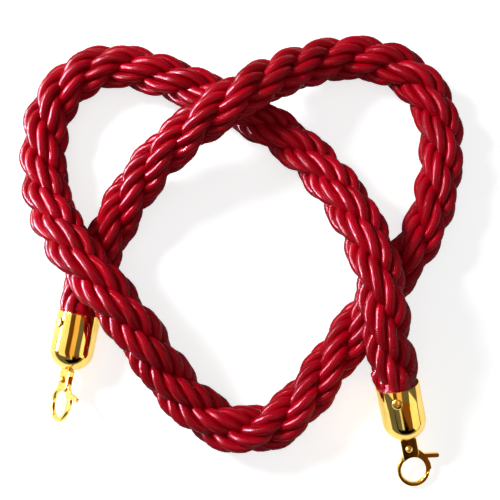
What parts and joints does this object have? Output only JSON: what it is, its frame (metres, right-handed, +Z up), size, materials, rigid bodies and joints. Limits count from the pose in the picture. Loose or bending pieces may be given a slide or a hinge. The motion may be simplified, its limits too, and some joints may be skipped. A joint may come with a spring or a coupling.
{
  "type": "barrier rope",
  "caption": "Thick twisted satin barrier rope laid in a heart-shaped loop, with bell-shaped gold end caps and swivelling trigger snap hooks that clip to barrier posts.",
  "frame": {"origin": "on the surface that the rope lies on, under the middle of the two end fittings' overall box", "axes": "+Z up from that surface, -Y from the heart's lobes towards the hooks' side, +X from fitting a towards fitting b"},
  "size_m": [0.3126, 0.3195, 0.0634],
  "materials": {
    "rope": "glossy satin twist",
    "gold_plate": "polished gold plate",
    "steel": "plain",
    "binding_cotton": "matt thread"
  },
  "bodies": {
    "main": {"rope": "rope", "end_cap_a": "gold_plate", "cap_screw_a": "gold_plate", "rope_binding_a": "binding_cotton", "swivel_washer_a": "steel", "end_cap_b": "gold_plate", "cap_screw_b": "gold_plate", "rope_binding_b": "binding_cotton", "swivel_washer_b": "steel"},
    "hook_a": {"hook_body_a": "gold_plate", "swivel_stud_a": "gold_plate", "gate_pin_a": "gold_plate", "gate_spring_a": "steel"},
    "gate_a": {"hook_gate_a": "gold_plate"},
    "hook_b": {"hook_body_b": "gold_plate", "swivel_stud_b": "gold_plate", "gate_pin_b": "gold_plate", "gate_spring_b": "steel"},
    "gate_b": {"hook_gate_b": "gold_plate"}
  },
  "joints": [
    {"name": "hook_swivel_a", "type": "hinge", "parent": "main", "child": "hook_a", "pos_m": [-0.12175, 0.02189, 0.01445], "axis": [-0.204, -0.9765, -0.0698], "continuous": true},
    {"name": "gate_open_a", "type": "hinge", "parent": "hook_a", "child": "gate_a", "pos_m": [-0.12428, 0.01248, 0.01318], "axis": [0.7256, -0.103, -0.6803], "range_deg": [0, 28], "stiffness_Nm_per_rad": 0.08, "springref_deg": -34.38},
    {"name": "hook_swivel_b", "type": "hinge", "parent": "main", "child": "hook_b", "pos_m": [0.11403, -0.02534, 0.01377], "axis": [0.2113, -0.93, -0.3007], "continuous": true},
    {"name": "gate_open_b", "type": "hinge", "parent": "hook_b", "child": "gate_b", "pos_m": [0.11532, -0.03463, 0.01083], "axis": [-0.0666, 0.2932, -0.9537], "range_deg": [0, 28], "stiffness_Nm_per_rad": 0.08, "springref_deg": -34.38}
  ]
}
